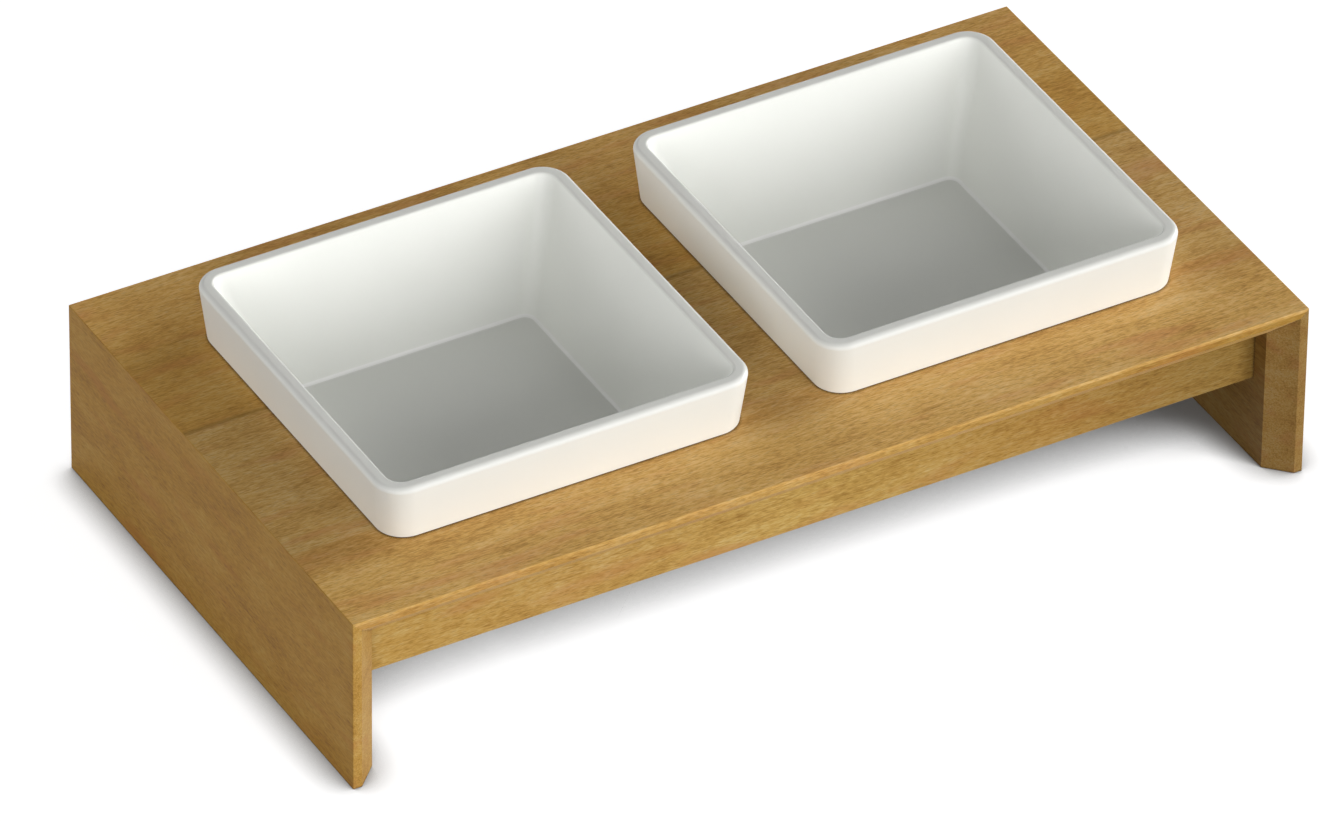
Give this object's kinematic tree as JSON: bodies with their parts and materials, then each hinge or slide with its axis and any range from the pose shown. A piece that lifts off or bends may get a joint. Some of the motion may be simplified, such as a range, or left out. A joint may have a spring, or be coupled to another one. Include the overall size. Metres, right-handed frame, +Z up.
{
  "type": "double pet bowl stand",
  "caption": "Low wooden arch stand with mitred corners and apron rails that holds square glazed bowls in rounded-square holes, so a pet can eat and drink side by side.",
  "frame": {"origin": "on the floor, under the middle of the stand", "axes": "+X along the stand's width to the right, +Y from the front to the back, +Z up"},
  "size_m": [0.4, 0.22, 0.0982],
  "materials": {
    "oiled_hardwood": "oiled, satin, fine pores",
    "pale_beech": "raw, pressed",
    "white_glaze": "satin warm white glaze"
  },
  "bodies": {
    "stand": {"top_board": "oiled_hardwood", "left_end_panel": "oiled_hardwood", "right_end_panel": "oiled_hardwood", "front_rail": "oiled_hardwood", "rear_rail": "oiled_hardwood", "left_mitre_biscuits": "pale_beech", "right_mitre_biscuits": "pale_beech", "front_rail_dowels": "pale_beech", "rear_rail_dowels": "pale_beech"},
    "left_bowl": {"left_bowl": "white_glaze"},
    "right_bowl": {"right_bowl": "white_glaze"}
  },
  "joints": [
    {"name": "left_bowl_lift", "type": "slide", "parent": "stand", "child": "left_bowl", "axis": [0, 0, 1], "range_m": [0, 0.045]},
    {"name": "right_bowl_lift", "type": "slide", "parent": "stand", "child": "right_bowl", "axis": [0, 0, 1], "range_m": [0, 0.045]}
  ]
}
